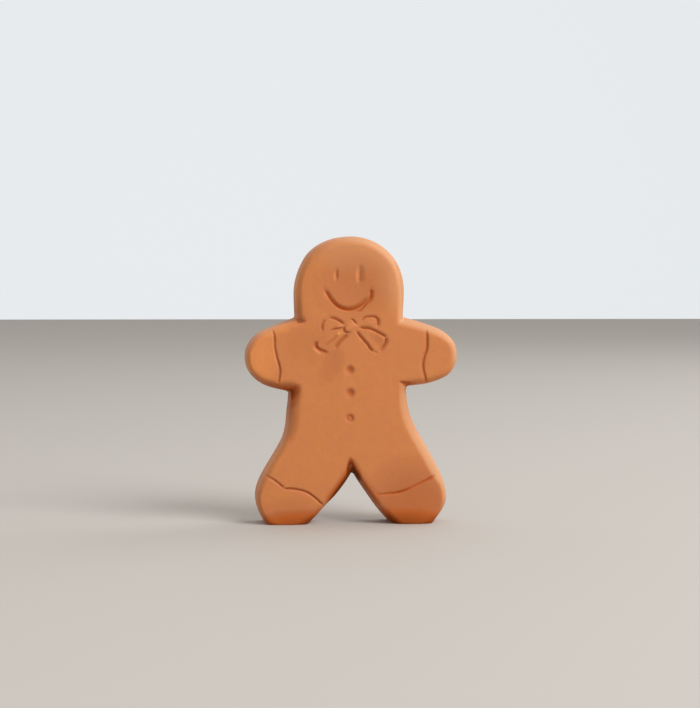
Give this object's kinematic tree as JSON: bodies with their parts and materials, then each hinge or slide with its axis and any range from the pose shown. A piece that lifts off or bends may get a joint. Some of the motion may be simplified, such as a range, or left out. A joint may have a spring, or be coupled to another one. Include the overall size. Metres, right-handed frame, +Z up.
{
  "type": "terracotta gingerbread man",
  "caption": "Small standing gingerbread man pressed in orange terracotta, one rounded slab with a smiling face, bow, buttons and cuff lines pressed in its front.",
  "frame": {"origin": "middle of the figure's footprint, on the surface that it stands on", "axes": "+Z up to the head, -Y out of the face, +X to the right as seen from the front"},
  "size_m": [0.0566, 0.011, 0.076],
  "materials": {
    "terracotta": "matt fired clay, fine and smooth, with faint mottling"
  },
  "bodies": {
    "root": {"gingerbread_man": "terracotta"}
  },
  "joints": []
}
